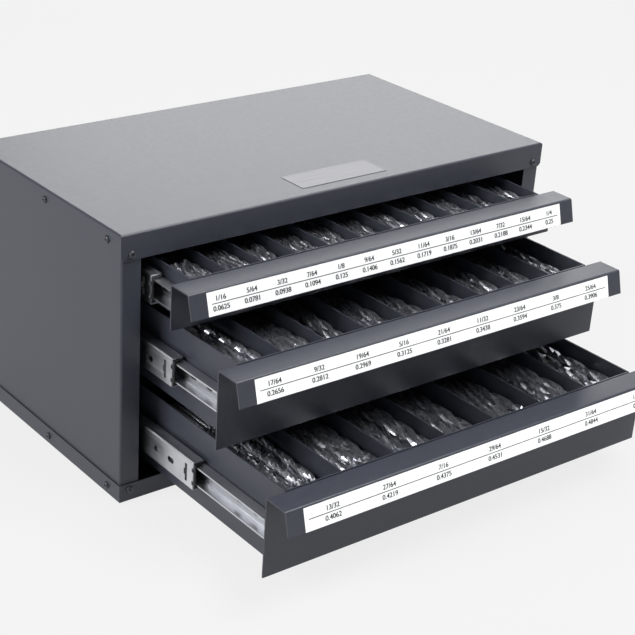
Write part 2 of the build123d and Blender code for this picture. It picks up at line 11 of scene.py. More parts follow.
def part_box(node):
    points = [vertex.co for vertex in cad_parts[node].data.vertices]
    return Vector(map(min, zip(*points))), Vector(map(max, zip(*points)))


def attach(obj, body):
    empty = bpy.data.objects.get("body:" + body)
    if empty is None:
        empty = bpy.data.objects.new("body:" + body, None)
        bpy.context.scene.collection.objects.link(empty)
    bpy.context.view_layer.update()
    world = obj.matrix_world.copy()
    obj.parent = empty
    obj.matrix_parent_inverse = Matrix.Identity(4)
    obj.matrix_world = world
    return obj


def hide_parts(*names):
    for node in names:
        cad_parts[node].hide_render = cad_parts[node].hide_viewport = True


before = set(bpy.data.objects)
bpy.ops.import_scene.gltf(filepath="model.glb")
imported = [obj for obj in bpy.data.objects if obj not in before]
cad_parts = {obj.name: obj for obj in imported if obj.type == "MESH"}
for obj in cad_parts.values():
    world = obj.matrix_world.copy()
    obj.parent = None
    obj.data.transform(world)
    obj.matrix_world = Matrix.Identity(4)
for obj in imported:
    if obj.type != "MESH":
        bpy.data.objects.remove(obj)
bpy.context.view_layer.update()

MM = 0.001
INCH = 25.4 * MM

# ------------------------------------------------------------ camera and light
CAMERA_PLACE = (-0.667, -0.876, 0.569)
CAMERA_TURN = (63.364, -2.472, -35.924)  # degrees
CAMERA_LENS = 89.28
SENSOR_WIDTH = 36.0
CAMERA_SHIFT = (0.1063, 0.0669)
BACKDROP = 0.86  # the pale grey of the floor and of everything beyond it
FLOOR_OWN_SHARE = 0.95  # how much of the floor's look is its own colour, without shadow
FLOOR_HALF = 6.0
HORIZON_LIGHT = 0.30
ZENITH_LIGHT = 0.24
ZENITH_FROM = 0.7  # the world's light stays at the zenith's level above this

# Soft lamps: name, place, what it is turned to, width and height, power in watts
LAMPS = (
    ("rear_softbox", (1.25, 1.55, 1.15), (0, 0, 0.15), (1.5, 1.1), 21.5),
    ("left_softbox", (-2.0, 0.3, 1.3), (0, 0, 0.2), (1.1, 1.1), 56),
    ("top_softbox", (0.5, -0.75, 1.9), (0, -0.15, 0.1), (1.3, 0.8), 66),
)

# ------------------------------------------------------------ the case's parts
DRAWERS = ("upper", "middle", "lower")
PAINTED = (
    "top_cover",
    "base_pan",
    "left_side_panel",
    "right_side_panel",
    "back_panel",
    "left_slide_uprights",
    "right_slide_uprights",
)

# Sizes on the strips, in sixty-fourths of an inch: first, last; and where the
# first and the last of them are centred, from the middle of the case
STRIP_SIZES = {
    "upper": (4, 16, -144.8 * MM, 143.5 * MM),
    "middle": (17, 25, -140.5 * MM, 137.0 * MM),
    "lower": (26, 32, -133.1 * MM, 137.3 * MM),
}
DIGIT_HEIGHT = 3.4 * MM
DIGIT_PITCH = 2.35 * MM
DIGIT_WEIGHT = 0.014  # how much bolder than the plain font, in font units
STROKE = 0.22 * MM  # the strokes are this much thicker again, from side to side
FRACTION_ROW = 1.5 * MM  # baseline of the upper row, above the strip's middle
RULE_ROW = -0.1 * MM
DECIMAL_ROW = -4.9 * MM
RULE_WIDTH = 0.6 * MM
RULE_MARGIN = 3.0 * MM
PRINT_LIFT = 0.04 * MM
SECOND_LIFT = PRINT_LIFT * 1.25  # of the print's second layer, which thickens its strokes

# The bare plate on the cover
PLATE_LOW = (-33.5 * MM, -90.5 * MM)
PLATE_HIGH = (41.5 * MM, -65.5 * MM)
PLATE_THICKNESS = 0.3 * MM
PLATE_CORNER = 1.2 * MM
PLATE_RIM = 0.9 * MM

# Heaps of drill bits: bays, heap's top below the rim, most bits in a bay, and
# diameters in the first and the last bay. The diameters were chosen and
# aren't the strips' sizes, and the photo's heaps are fuller than these
HEAPS = {
    "upper": (11, 4.0 * MM, 80, (3.2 * MM, 4.4 * MM)),
    "middle": (9, 5.0 * MM, 75, (4.8 * MM, 5.8 * MM)),
    "lower": (7, 5.0 * MM, 75, (5.8 * MM, 7.0 * MM)),
}
SHOWN_DEPTH = 12.0 * MM  # bits that lie deeper under the heap's top are drawn roughly
SHOWN_STEP = 0.8  # from ring to ring along a bit, in diameters
ROUGH_STEP = 1.6
TRAY_SHEET = 1.0 * MM
DIVIDER_SHEET = 0.8 * MM
HELIX_ANGLE = 24.0  # degrees
FLUTE_SHARE = 0.68  # fluted part of a bit's length
POINT_SHARE = 0.3  # length of the 118-degree point, in diameters
TIP_SHARE = 0.12  # of the fluted radii, at the tip
RUN_OUT = 0.6  # from the flutes' end to the round shank, in diameters
TAIL_BEVEL = 0.3  # in radii
TAIL_SHARE = 0.7  # of the radius, at the shank's end
# About how near the axes of bits come, in sums of radii. The bits cut into each
# other, the more the smaller this is, and some axes come nearer still
NESTING = 0.75
STEEPEST_BIT = 12.0  # degrees
WIDEST_YAW = 12.0
YAW_SPREAD = 4.0
YAW_SHARE = 0.95  # of the yaw that a bay's width leaves a bit
PLACES_TRIED = 30  # for each bit, which takes about the lowest
MISSES_ALLOWED = 8  # bits without a place, before a bay is full
BAY_CLEARANCE = 0.3 * MM  # a bit to a divider
FRONT_GAPS = (1.0, 9.0)  # least and most, in millimetres, from a bay's front to a bit
END_CLEARANCE = 4 * MM  # the longest bit is this much shorter than its bay
SAMPLES = 24  # places along a bit where it may rest on those below

# Half of a bit's section: angle in degrees, share of the radius. The land comes
# first, then the flute behind it
SHOWN_SECTION = ((0, 1.0), (40, 1.0), (78, 0.98), (94, 0.52), (125, 0.34), (158, 0.56))
ROUGH_SECTION = ((0, 1.0), (70, 1.0), (100, 0.45), (140, 0.45))

# Fasteners: head height, and span from end to end
HEAD_HEIGHT = 1.5 * MM
CASE_SCREW_SPAN = 4.3 * MM
RIVET_SPAN = 3.5 * MM
# A head's side, as shares of its radius and height; and its cross recess, with the
# arms' length and half width in radii, and the recess's bottom in shares of its
# mouth and of the head's height
HEAD_PROFILE = ((1.0, 0.0), (1.0, 0.35), (0.93, 0.66), (0.80, 0.86), (0.62, 1.0))
RECESS_ARM = 0.46
RECESS_HALF_WIDTH = 0.11
RECESS_BOTTOM_SHARE = 0.6
RECESS_BOTTOM_HEIGHT = 0.35

# Below these angles, in degrees, a piece is shaded smooth
BIT_SMOOTH = 34
FASTENER_SMOOTH = 30
BALL_SMOOTH = 60

BALL_ROWS = 8
BALL_SIDES = 16
POLE_GAP = 0.02  # from a pole to the row next to it, in rows

# Black plugs in the inner rails' slots, which the photo doesn't show: there the slots are dark holes, so
# the plugs' black is painted shade. Places are from the rail's front end
SLOT_PLACES = (26.0 * MM, 44.0 * MM)
SHADE_PLUG_LENGTH = 6.8 * MM
SHADE_PLUG_WIDTH = 3.9 * MM
SHADE_PLUG_RISE = 0.75 * MM
SHADE_PLUG_TURNS = 8  # steps round each end of a plug
# A plug's side, as shares of its width and of its rise; the last step is its dish
SHADE_PLUG_PROFILE = ((1.0, 0.02), (1.0, 0.9), (0.88, 1.0), (0.74, 0.45))


# ------------------------------------------------------------------- materials
def node(tree, kind, **values):
    """A new shader node, with its properties and inputs set by name."""
    made = tree.nodes.new(kind)
    for name, value in values.items():
        if hasattr(made, name):
            setattr(made, name, value)
        else:
            made.inputs[name.replace("_", " ")].default_value = value
    return made


def noise(tree, scale, detail=3.0, stretch=(1, 1, 1)):
    """Noise in the part's own space, stretched along its axes."""
    place = node(tree, "ShaderNodeTexCoord")
    mapping = node(tree, "ShaderNodeMapping")
    mapping.inputs["Scale"].default_value = stretch
    texture = node(tree, "ShaderNodeTexNoise", Scale=scale, Detail=detail)
    tree.links.new(place.outputs["Object"], mapping.inputs["Vector"])
    tree.links.new(mapping.outputs["Vector"], texture.inputs["Vector"])
    return texture.outputs["Fac"]


def ramp(tree, value, low, high):
    """A colour ramp between two colours or grey levels."""
    made = node(tree, "ShaderNodeValToRGB")
    for element, colour in zip(made.color_ramp.elements, (low, high)):
        element.color = (*colour, 1.0) if isinstance(colour, tuple) else (colour,) * 3 + (1.0,)
    made.color_ramp.elements[0].position = 0.3
    made.color_ramp.elements[1].position = 0.7
    tree.links.new(value, made.inputs["Fac"])
    return made.outputs["Color"]


def vary(tree, value, low, high, socket):
    """Vary an input of the shader between two colours or levels, along a noise."""
    tree.links.new(ramp(tree, value, low, high), socket)


def bump(tree, heights, shader):
    """Bumps one after another, as (height, strength, distance in metres)."""
    previous = None
    for height, strength, distance in heights:
        made = node(tree, "ShaderNodeBump", Strength=strength, Distance=distance)
        tree.links.new(height, made.inputs["Height"])
        if previous:
            tree.links.new(previous, made.inputs["Normal"])
        previous = made.outputs["Normal"]
    tree.links.new(previous, shader.inputs["Normal"])


def new_material(name, metallic=0.0, specular=0.5):
    material = bpy.data.materials.new(name)
    material.use_nodes = True
    tree = material.node_tree
    shader = tree.nodes["Principled BSDF"]
    shader.inputs["Metallic"].default_value = metallic
    shader.inputs["Specular IOR Level"].default_value = specular
    return material, tree, shader


def painted_steel():
    """Slate-grey satin powder coat with a fine orange peel."""
    material, tree, shader = new_material("powder_coat", specular=0.36)
    mottle = noise(tree, 260.0, 3.0)
    peel = noise(tree, 1500.0, 2.0)
    sheet = noise(tree, 9.0, 1.0)
    vary(tree, mottle, (0.026, 0.029, 0.039), (0.031, 0.034, 0.045), shader.inputs["Base Color"])
    vary(tree, mottle, 0.37, 0.42, shader.inputs["Roughness"])
    bump(tree, [(sheet, 0.015, 0.0004), (peel, 0.12, 0.0001)], shader)
    return material


def zinc_plate():
    """Bright zinc on rolled steel: streaks along the rail and a dull patch here and there."""
    material, tree, shader = new_material("zinc_plate", metallic=1.0)
    streaks = noise(tree, 700.0, 3.0, (1, 0.03, 1))
    patches = noise(tree, 60.0, 3.0)
    vary(tree, patches, (0.56, 0.575, 0.61), (0.70, 0.71, 0.74), shader.inputs["Base Color"])
    vary(tree, streaks, 0.28, 0.42, shader.inputs["Roughness"])
    bump(tree, [(streaks, 0.15, 0.00005)], shader)
    return material


def drill_steel():
    """Ground high-speed steel, its tone varying at random."""
    material, tree, shader = new_material("drill_steel", metallic=1.0)
    grind = noise(tree, 900.0, 2.0)
    tone = noise(tree, 120.0, 2.0)
    vary(tree, tone, (0.44, 0.45, 0.49), (0.66, 0.67, 0.71), shader.inputs["Base Color"])
    vary(tree, grind, 0.26, 0.38, shader.inputs["Roughness"])
    bump(tree, [(grind, 0.08, 0.00005)], shader)
    return material


def bearing_steel():
    material, tree, shader = new_material("bearing_steel", metallic=1.0)
    film = noise(tree, 400.0)
    vary(tree, film, (0.60, 0.61, 0.63), (0.72, 0.73, 0.75), shader.inputs["Base Color"])
    vary(tree, film, 0.08, 0.16, shader.inputs["Roughness"])
    return material


# Black plastic of the ball cages and the rail end stops; on the slot plugs its black is painted shade
def black_plastic():
    material, tree, shader = new_material("black_plastic")
    grain = noise(tree, 2500.0, 2.0)
    vary(tree, grain, (0.012, 0.012, 0.013), (0.018, 0.018, 0.020), shader.inputs["Base Color"])
    vary(tree, grain, 0.42, 0.52, shader.inputs["Roughness"])
    bump(tree, [(grain, 0.2, 0.00005)], shader)
    return material


def blackened_steel():
    """The case's screws."""
    material, tree, shader = new_material("blackened_steel", metallic=0.4)
    film = noise(tree, 900.0)
    vary(tree, film, (0.035, 0.037, 0.043), (0.050, 0.053, 0.062), shader.inputs["Base Color"])
    vary(tree, film, 0.30, 0.42, shader.inputs["Roughness"])
    bump(tree, [(film, 0.1, 0.00005)], shader)
    return material


def white_vinyl():
    material, tree, shader = new_material("white_vinyl", specular=0.25)
    mottle = noise(tree, 200.0)
    vary(tree, mottle, (0.72, 0.73, 0.73), (0.76, 0.77, 0.77), shader.inputs["Base Color"])
    vary(tree, mottle, 0.42, 0.52, shader.inputs["Roughness"])
    bump(tree, [(mottle, 0.05, 0.00005)], shader)
    return material


def print_ink():
    material, tree, shader = new_material("print_ink")
    wear = noise(tree, 1500.0)
    vary(tree, wear, (0.012, 0.012, 0.014), (0.035, 0.035, 0.040), shader.inputs["Base Color"])
    vary(tree, wear, 0.45, 0.6, shader.inputs["Roughness"])
    return material


def brushed_plate():
    """Aluminium, brushed along the case's width."""
    material, tree, shader = new_material("brushed_plate", metallic=1.0)
    brush = noise(tree, 1400.0, 3.0, (0.02, 1, 1))
    vary(tree, brush, (0.15, 0.15, 0.16), (0.24, 0.24, 0.25), shader.inputs["Base Color"])
    vary(tree, brush, 0.46, 0.58, shader.inputs["Roughness"])
    bump(tree, [(brush, 0.2, 0.00005)], shader)
    return material


PAINT = painted_steel()
ZINC = zinc_plate()
DRILL_STEEL = drill_steel()
BALL_STEEL = bearing_steel()
BLACK_PLASTIC_AND_SLOT_SHADE = black_plastic()
BLACK_STEEL = blackened_steel()
VINYL = white_vinyl()
INK = print_ink()
PLATE_METAL = brushed_plate()


def dress(name, material):
    """Give a node of the frame its material."""
    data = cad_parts[name].data
    data.materials.clear()
    data.materials.append(material)


for name in PAINTED:
    dress(name, PAINT)
dress("outer_rail_screws", ZINC)
for level in DRAWERS:
    for part in ("drawer_front", "tray", "dividers"):
        dress(f"{level}_{part}", PAINT)
    for side in ("left", "right"):
        for rail in ("outer", "middle", "inner"):
            dress(f"{level}_{side}_{rail}_rail", ZINC)
    for race in ("outer", "inner"):
        dress(f"{level}_{race}_ball_cages", BLACK_PLASTIC_AND_SLOT_SHADE)
    dress(f"{level}_rail_end_stops", BLACK_PLASTIC_AND_SLOT_SHADE)
    dress(f"{level}_label_strip", VINYL)


# ------------------------------------------------------------------ mesh pieces
def new_piece(name, points, faces, body, material, smooth=0.0):
    """A mesh object that rides on a body of the frame, smooth below an angle."""
    data = bpy.data.meshes.new(name)
    data.from_pydata([tuple(p) for p in points], [], [tuple(int(i) for i in f) for f in faces])
    data.validate()
    made = bpy.data.objects.new(name, data)
    bpy.context.scene.collection.objects.link(made)
    data.materials.append(material)
    if smooth:
        data.shade_smooth()
        data.set_sharp_from_angle(angle=smooth)
    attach(made, body)
    return made


class Builder:
    """Gathers points and faces of one piece."""

    def __init__(self):
        self.points = []
        self.faces = []

    def add(self, points, faces):
        start = len(self.points)
        self.points.extend(points)
        self.faces.extend([tuple(i + start for i in face) for face in faces])

    @staticmethod
    def tube_faces(rings, sides):
        """Faces of a tube through rings of points, with its ends closed."""
        faces = []
        for ring in range(rings - 1):
            for side in range(sides):
                after = (side + 1) % sides
                a = ring * sides
                faces.append((a + side, a + after, a + sides + after, a + sides + side))
        faces.append(tuple(reversed(range(sides))))
        faces.append(tuple((rings - 1) * sides + side for side in range(sides)))
        return faces


# ----------------------------------------------------------------- drill bits
def drill_bit_mesh(diameter, length, half_section, step):
    """A twist drill along +Y from its point at the origin; its points and faces."""
    radius = diameter / 2
    section = list(half_section) + [(angle + 180, share) for angle, share in half_section]
    angles = np.radians([angle for angle, share in section])
    fluted_radii = np.array([share for angle, share in section])
    sides = len(section)
    point_length = diameter * POINT_SHARE
    flute_length = length * FLUTE_SHARE
    pitch = math.pi * diameter / math.tan(math.radians(HELIX_ANGLE))
    rings = max(6, int((flute_length - point_length) / (diameter * step)))
    places = [0.0] + list(np.linspace(point_length, flute_length, rings))
    places += [flute_length + diameter * RUN_OUT, length - radius * TAIL_BEVEL, length]
    points = []
    for place in places:
        turn = -math.tau * place / pitch
        if place == 0.0:
            radii = fluted_radii * TIP_SHARE
        elif place <= flute_length:
            radii = fluted_radii
        elif place < length:
            radii = np.ones(sides)
        else:
            radii = np.full(sides, TAIL_SHARE)
        across = radius * radii * np.cos(angles + turn)
        upright = radius * radii * np.sin(angles + turn)
        points += [Vector((x, place, z)) for x, z in zip(across, upright)]
    return points, Builder.tube_faces(len(places), sides)


def jobber_length(sixty_fourths):
    """A jobber drill's length, nearly: steps of 1/5 inch below 3/16, then of 1/8 inch."""
    if sixty_fourths < 12:
        return (1.875 + 0.2 * (sixty_fourths - 4)) * INCH
    return (3.5 + 0.125 * (sixty_fourths - 12)) * INCH


def seat(bit, laid, floor):
    """Height of a bit's point and its slope, at rest on the floor and on the bits below."""
    x, y, yaw, length, radius = bit
    along = np.linspace(0, length, SAMPLES)
    px = x + along * math.sin(yaw)
    py = y + along * math.cos(yaw)
    support = np.full(SAMPLES, floor + radius)
    if laid:
        ox, oy, oz, oyaw, oslope, olength, oradius = np.array(laid).T[:, :, None]
        ux = np.sin(oyaw)
        uy = np.cos(oyaw)
        t = np.clip((px - ox) * ux + (py - oy) * uy, 0, olength)
        distance = np.hypot(px - ox - t * ux, py - oy - t * uy)
        reach = (radius + oradius) * NESTING
        rise = np.sqrt(np.maximum(reach**2 - distance**2, 0))
        tops = np.where(distance < reach, oz + t * np.tan(oslope) + rise, 0)
        support = np.maximum(support, tops.max(axis=0))
    # it rests on two places, one on each side of its middle
    half = SAMPLES // 2
    low_place, low_height = along[:half, None], support[:half, None]
    high_place, high_height = along[None, half:], support[None, half:]
    slopes = (high_height - low_height) / (high_place - low_place)
    heights = low_height + slopes * (length / 2 - low_place)
    i, j = np.unravel_index(np.argmax(heights), heights.shape)
    return float(support[i] - slopes[i, j] * along[i]), float(math.atan(slopes[i, j]))


def heap_in_bay(bay_x, width, front, floor, top, most, diameter, length, rng):
    """Bits dropped into a bay one by one, each into about the lowest of some places."""
    radius = diameter / 2
    room = width / 2 - radius - BAY_CLEARANCE
    widest = min(math.atan2(2 * room, length) * YAW_SHARE, math.radians(WIDEST_YAW))
    laid = []
    misses = 0
    while len(laid) < most and misses < MISSES_ALLOWED:
        best = None
        for _ in range(PLACES_TRIED):
            yaw = max(-widest, min(widest, rng.gauss(0, math.radians(YAW_SPREAD))))
            lean = abs(math.sin(yaw)) * length / 2
            middle_x = bay_x + rng.uniform(-1, 1) * max(room - lean, 0)
            y = front + rng.uniform(*FRONT_GAPS) * MM
            x = middle_x - math.sin(yaw) * length / 2
            z, slope = seat((x, y, yaw, length, radius), laid, floor)
            tail = z + length * math.tan(slope)
            if abs(slope) > math.radians(STEEPEST_BIT) or max(z, tail) + radius > top:
                continue
            rank = (z + tail) / 2 + rng.uniform(0, radius / 2)
            if best is None or rank < best[0]:
                best = (rank, (x, y, z, yaw, slope, length, radius))
        if best is None:
            misses += 1
        else:
            laid.append(best[1])
    return laid


def heap_of_bits(level, rng):
    """The bits of one drawer, heaped in its bays with their points to the front."""
    first, last = STRIP_SIZES[level][:2]
    bays, below_rim, most, (thinnest, thickest) = HEAPS[level]
    low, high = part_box(f"{level}_tray")
    pitch = (high.x - low.x - 2 * TRAY_SHEET) / bays
    front = low.y + TRAY_SHEET
    rear = high.y - TRAY_SHEET
    top = high.z - below_rim
    builder = Builder()
    for bay in range(bays):
        size = round(first + (last - first) * bay / (bays - 1))
        diameter = thinnest + (thickest - thinnest) * bay / (bays - 1)
        length = min(jobber_length(size), rear - front - END_CLEARANCE)
        shown = drill_bit_mesh(diameter, length, SHOWN_SECTION, SHOWN_STEP)
        rough = drill_bit_mesh(diameter, length, ROUGH_SECTION, ROUGH_STEP)
        bay_x = (low.x + high.x) / 2 + (bay - (bays - 1) / 2) * pitch
        width = pitch - DIVIDER_SHEET
        floor_height = low.z + TRAY_SHEET
        laid = heap_in_bay(bay_x, width, front, floor_height, top, most, diameter, length, rng)
        for x, y, z, yaw, slope, length, radius in laid:
            highest = max(z, z + length * math.tan(slope)) + radius
            points, faces = shown if highest > top - SHOWN_DEPTH else rough
            turn = Euler((slope, 0, -yaw)).to_matrix()
            spin = Euler((0, rng.uniform(0, math.tau), 0)).to_matrix()
            place = Vector((x, y, z))
            builder.add([place + turn @ (spin @ p) for p in points], faces)
    return builder


def dress_drill_bits():
    for level in DRAWERS:
        builder = heap_of_bits(level, random.Random(level))
        piece = new_piece(
            f"{level}_twist_drills",
            builder.points,
            builder.faces,
            f"{level}_drawer",
            DRILL_STEEL,
            math.radians(BIT_SMOOTH),
        )
        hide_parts(f"{level}_drill_bits")


# -------------------------------------------------------------------- labels
def strip_plane(level):
    """Centre, upward direction, outward normal and two ends of a strip's printed face."""
    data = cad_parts[f"{level}_label_strip"].data
    face = max(data.polygons, key=lambda f: (f.normal.y < -0.5) * f.area)
    normal = face.normal.copy()
    up = normal.cross(Vector((1, 0, 0))).normalized()
    if up.z < 0:
        up = -up
    low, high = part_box(f"{level}_label_strip")
    corners = [v.co for v in data.vertices]
    outer = max(c.dot(normal) for c in corners)
    middle = (low + high) / 2
    centre = middle + normal * (outer - middle.dot(normal))
    return centre, up, normal, low.x, high.x


def text_outline(text):
    """A line of text as flat points and faces, one unit per font size."""
    curve = bpy.data.curves.new("text", "FONT")
    curve.body = text
    curve.align_x = "CENTER"
    curve.offset = DIGIT_WEIGHT
    holder = bpy.data.objects.new("text", curve)
    bpy.context.scene.collection.objects.link(holder)
    bpy.context.view_layer.update()
    data = bpy.data.meshes.new_from_object(holder.evaluated_get(bpy.context.evaluated_depsgraph_get()))
    points = [v.co.copy() for v in data.vertices]
    faces = [tuple(p.vertices) for p in data.polygons]
    bpy.data.objects.remove(holder)
    bpy.data.curves.remove(curve)
    bpy.data.meshes.remove(data)
    return points, faces


def fraction(size):
    shrink = math.gcd(size, 64)
    return f"{size // shrink}/{64 // shrink}"


def decimal(size):
    return f"{round(size / 64, 4):.4f}".rstrip("0")


def print_strip(level):
    """The sizes on one strip: fractions, a rule, and decimals below it."""
    first, last, first_x, last_x = STRIP_SIZES[level]
    centre, up, normal, left, right = strip_plane(level)
    zero = text_outline("0")[0]
    pair = text_outline("00")[0]
    tall = DIGIT_HEIGHT / (max(p.y for p in zero) - min(p.y for p in zero))
    span_of_one = max(p.x for p in zero) - min(p.x for p in zero)
    span_of_two = max(p.x for p in pair) - min(p.x for p in pair)
    wide = DIGIT_PITCH / (span_of_two - span_of_one)
    builder = Builder()

    def place(x, rise, lift=PRINT_LIFT):
        return Vector((x, centre.y, centre.z)) + up * rise + normal * lift

    for size in range(first, last + 1):
        x = first_x + (last_x - first_x) * (size - first) / (last - first)
        for text, row in ((fraction(size), FRACTION_ROW), (decimal(size), DECIMAL_ROW)):
            points, faces = text_outline(text)
            for shift, lift in ((-STROKE / 2, PRINT_LIFT), (STROKE / 2, SECOND_LIFT)):
                builder.add([place(x + shift + p.x * wide, row + p.y * tall, lift) for p in points], faces)
    low = RULE_ROW - RULE_WIDTH / 2
    high = RULE_ROW + RULE_WIDTH / 2
    start = left + RULE_MARGIN
    end = right - RULE_MARGIN
    builder.add([place(start, low), place(end, low), place(end, high), place(start, high)], [(0, 1, 2, 3)])
    new_piece(f"{level}_size_print", builder.points, builder.faces, f"{level}_drawer", INK)


# -------------------------------------------------------------------- screws
def domed_head(radius, height, sides=32, recess=True):
    """A domed head on z = 0, with or without a cross recess; its points and faces."""
    points = []
    faces = []
    for share, rise in HEAD_PROFILE:
        for side in range(sides):
            angle = side * math.tau / sides
            x = radius * share * math.cos(angle)
            y = radius * share * math.sin(angle)
            points.append(Vector((x, y, height * rise)))
    for ring in range(len(HEAD_PROFILE) - 1):
        for side in range(sides):
            after = (side + 1) % sides
            a = ring * sides
            faces.append((a + side, a + after, a + sides + after, a + sides + side))
    faces.append(tuple(reversed(range(sides))))
    top = (len(HEAD_PROFILE) - 1) * sides
    if not recess:
        faces.append(tuple(top + side for side in range(sides)))
        return points, faces
    arm = RECESS_ARM * radius
    half = RECESS_HALF_WIDTH * radius
    cross = [(arm, -half), (arm, half), (half, half), (half, arm), (-half, arm), (-half, half)]
    cross += [(-arm, half), (-arm, -half), (-half, -half), (-half, -arm), (half, -arm), (half, -half)]
    start = len(points)
    points += [Vector((x, y, height)) for x, y in cross]
    share = RECESS_BOTTOM_SHARE
    bottom = height * RECESS_BOTTOM_HEIGHT
    points += [Vector((x * share, y * share, bottom)) for x, y in cross]
    rim = list(range(top, top + sides))
    hole = list(range(start, start + 12))
    loops = [[points[i] for i in rim], [points[i] for i in reversed(hole)]]
    order = rim + list(reversed(hole))
    faces += [tuple(order[i] for i in triangle) for triangle in tessellate_polygon(loops)]
    for side in range(12):
        after = (side + 1) % 12
        faces.append((start + side, start + after, start + 12 + after, start + 12 + side))
    faces.append(tuple(start + 12 + side for side in range(12)))
    return points, faces


def solids_of(name):
    """The separate solids of a frame node, as lists of points."""
    mesh = bmesh.new()
    mesh.from_mesh(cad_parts[name].data)
    bmesh.ops.remove_doubles(mesh, verts=mesh.verts, dist=1e-6)
    groups = []
    seen = set()
    for vertex in mesh.verts:
        if vertex.index in seen:
            continue
        stack = [vertex]
        group = []
        seen.add(vertex.index)
        while stack:
            current = stack.pop()
            group.append(current.co.copy())
            for edge in current.link_edges:
                other = edge.other_vert(current)
                if other.index not in seen:
                    seen.add(other.index)
                    stack.append(other)
        groups.append(group)
    mesh.free()
    return groups


def head_side(group, axis, centre):
    """+1 or -1: on which side of its middle a fastener's widest points lie."""
    others = [i for i in range(3) if i != axis]
    a, b = others
    far = max(group, key=lambda p: math.hypot(p[a] - centre[a], p[b] - centre[b]))
    return 1 if far[axis] > centre[axis] else -1


def fastener_heads(node_name, piece_name, body, material, span, recess):
    """Round heads in the places of a node's fasteners, which are as long as the span."""
    builder = Builder()
    for group in solids_of(node_name):
        low = Vector([min(p[i] for p in group) for i in range(3)])
        high = Vector([max(p[i] for p in group) for i in range(3)])
        centre = (low + high) / 2
        size = high - low
        axis = min(range(3), key=lambda i: abs(size[i] - span))
        wide = max(size[i] for i in range(3) if i != axis)
        sign = head_side(group, axis, centre)
        base = centre.copy()
        outer = high[axis] if sign > 0 else low[axis]
        base[axis] = outer - sign * HEAD_HEIGHT
        normal = Vector([sign if i == axis else 0 for i in range(3)])
        turn = normal.to_track_quat("Z", "Y").to_matrix()
        points, faces = domed_head(wide / 2, HEAD_HEIGHT, recess=recess)
        builder.add([base + turn @ p for p in points], faces)
    smooth = math.radians(FASTENER_SMOOTH)
    piece = new_piece(piece_name, builder.points, builder.faces, body, material, smooth)
    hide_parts(node_name)


def round_balls(node_name, piece_name, body):
    """Round balls in the places of a node's faceted ones."""
    builder = Builder()
    for group in solids_of(node_name):
        low = Vector([min(p[i] for p in group) for i in range(3)])
        high = Vector([max(p[i] for p in group) for i in range(3)])
        centre = (low + high) / 2
        radius = (high.x - low.x) / 2
        points = []
        for row in range(BALL_ROWS + 1):
            tilt = math.pi * (row + POLE_GAP) / (BALL_ROWS + 2 * POLE_GAP)
            for side in range(BALL_SIDES):
                angle = side * math.tau / BALL_SIDES
                spoke = math.sin(tilt)
                outward = Vector((spoke * math.cos(angle), spoke * math.sin(angle), -math.cos(tilt)))
                points.append(centre + outward * radius)
        builder.add(points, Builder.tube_faces(BALL_ROWS + 1, BALL_SIDES))
    smooth = math.radians(BALL_SMOOTH)
    piece = new_piece(piece_name, builder.points, builder.faces, body, BALL_STEEL, smooth)
    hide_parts(node_name)


def slot_painted_shade(level):
    """Dished black plugs in the slots of a drawer's two inner rails, as painted shade there; the photo has
    none.
    """
    builder = Builder()
    turns = SHADE_PLUG_TURNS
    straight = (SHADE_PLUG_LENGTH - SHADE_PLUG_WIDTH) / 2
    for side, outward in (("left", -1), ("right", 1)):
        low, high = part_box(f"{level}_{side}_inner_rail")
        web = high.x if outward < 0 else low.x
        for place in SLOT_PLACES:
            centre = Vector((web, low.y + place, (low.z + high.z) / 2))
            points = []
            for share, rise in SHADE_PLUG_PROFILE:
                for step in range(2 * turns + 2):
                    end = 1 if step <= turns else -1
                    angle = math.pi * (step if end > 0 else step - 1) / turns - math.pi / 2
                    along = end * straight + share * SHADE_PLUG_WIDTH / 2 * math.cos(angle)
                    upright = share * SHADE_PLUG_WIDTH / 2 * math.sin(angle)
                    points.append(centre + Vector((outward * rise * SHADE_PLUG_RISE, along, upright)))
            builder.add(points, Builder.tube_faces(len(SHADE_PLUG_PROFILE), 2 * turns + 2))
    name = f"{level}_slot_painted_shade"
    smooth = math.radians(FASTENER_SMOOTH)
    # the plugs' black is painted shade in the slots
    new_piece(name, builder.points, builder.faces, f"{level}_drawer", BLACK_PLASTIC_AND_SLOT_SHADE, smooth)


# --------------------------------------------------------------------- plate
def cover_plate():
    """The bare metal plate on the cover, with a raised rim."""
    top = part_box("top_cover")[1].z
    (x0, y0), (x1, y1) = PLATE_LOW, PLATE_HIGH
    outline = []
    for cx, cy, start in ((x1, y1, 0), (x0, y1, 90), (x0, y0, 180), (x1, y0, 270)):
        for step in range(5):
            angle = math.radians(start + step * 22.5)
            middle_x = cx - (PLATE_CORNER if cx == x1 else -PLATE_CORNER)
            middle_y = cy - (PLATE_CORNER if cy == y1 else -PLATE_CORNER)
            x = middle_x + PLATE_CORNER * math.cos(angle)
            y = middle_y + PLATE_CORNER * math.sin(angle)
            outline.append((x, y))
    centre = ((x0 + x1) / 2, (y0 + y1) / 2)
    half = ((x1 - x0) / 2, (y1 - y0) / 2)

    def ring(inset, height):
        """The outline moved inwards, at a height over the cover."""
        along = (half[0] - inset) / half[0]
        across = (half[1] - inset) / half[1]
        moved = []
        for x, y in outline:
            ring_x = centre[0] + (x - centre[0]) * along
            ring_y = centre[1] + (y - centre[1]) * across
            moved.append(Vector((ring_x, ring_y, top + height)))
        return moved

    rings = [
        ring(0, 0.02 * MM),
        ring(0, PLATE_THICKNESS),
        ring(PLATE_RIM, PLATE_THICKNESS),
        ring(PLATE_RIM + 0.25 * MM, PLATE_THICKNESS * 0.55),
    ]
    points = [p for r in rings for p in r]
    faces = Builder.tube_faces(len(rings), len(outline))
    new_piece("cover_plate", points, faces, "case", PLATE_METAL)


